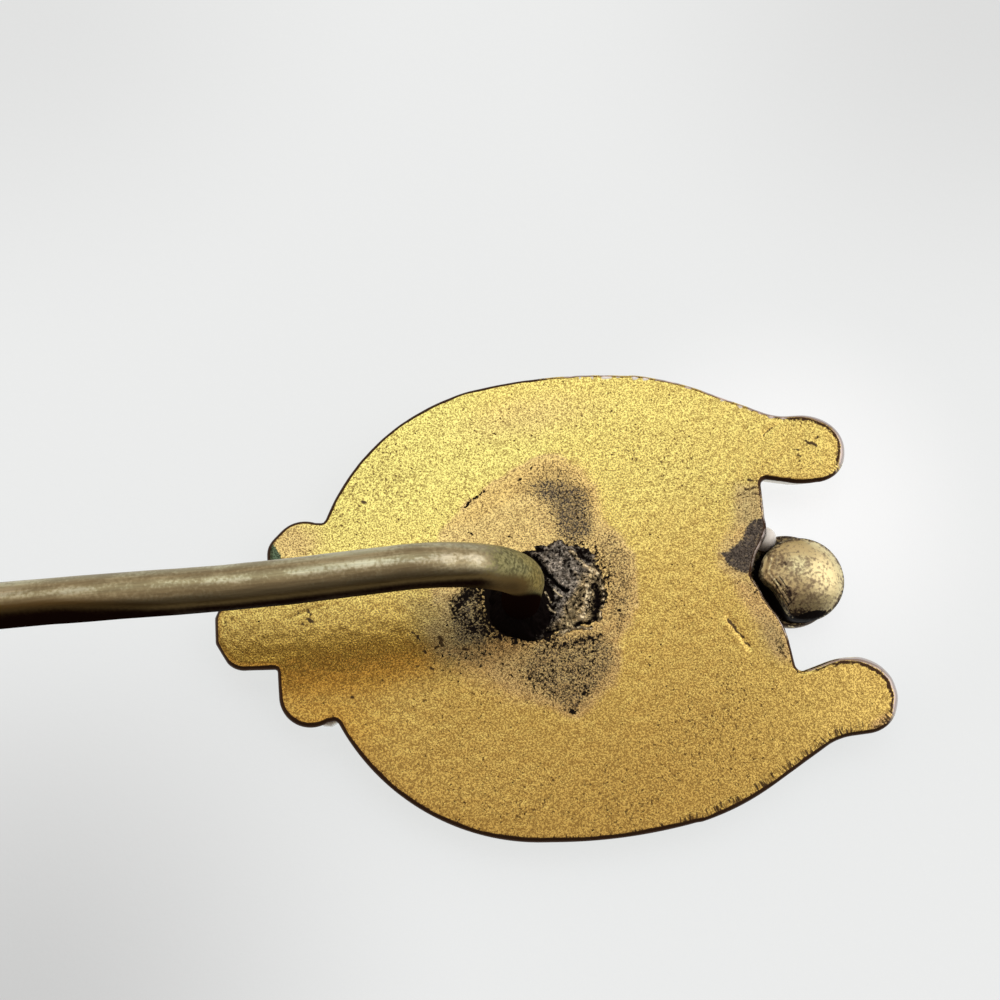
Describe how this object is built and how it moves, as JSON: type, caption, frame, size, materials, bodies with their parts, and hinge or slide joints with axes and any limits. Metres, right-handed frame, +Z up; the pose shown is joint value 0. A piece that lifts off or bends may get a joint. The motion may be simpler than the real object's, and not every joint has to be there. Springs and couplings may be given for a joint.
{
  "type": "stick pin",
  "caption": "Stick pin seen from its back: lobed gilt plate with a notched end, a domed button, an enamel front and a bent soldered wire that runs out to a point.",
  "frame": {"origin": "bottom centre of the whole pin as it lies on its front, on the mirror line of the plate", "axes": "+Z up, out of the plate's matted back; +X from the pin's point towards the arms and the button"},
  "size_m": [0.058, 0.0116, 0.0063],
  "materials": {
    "gilt_brass": "sand-matted gilt with a brown burn round the solder and a thin polished edge",
    "pin_wire": "drawn wire, worn, with a dull grey-olive tarnish",
    "solder": "crusty, scorched soft solder",
    "button_metal": "silvery brass, mottled and rubbed",
    "enamel": "plain ivory enamel, glossy"
  },
  "bodies": {
    "root": {"plate_with_pin": "gilt_brass", "button": "button_metal", "front_enamel": "enamel"}
  },
  "joints": []
}
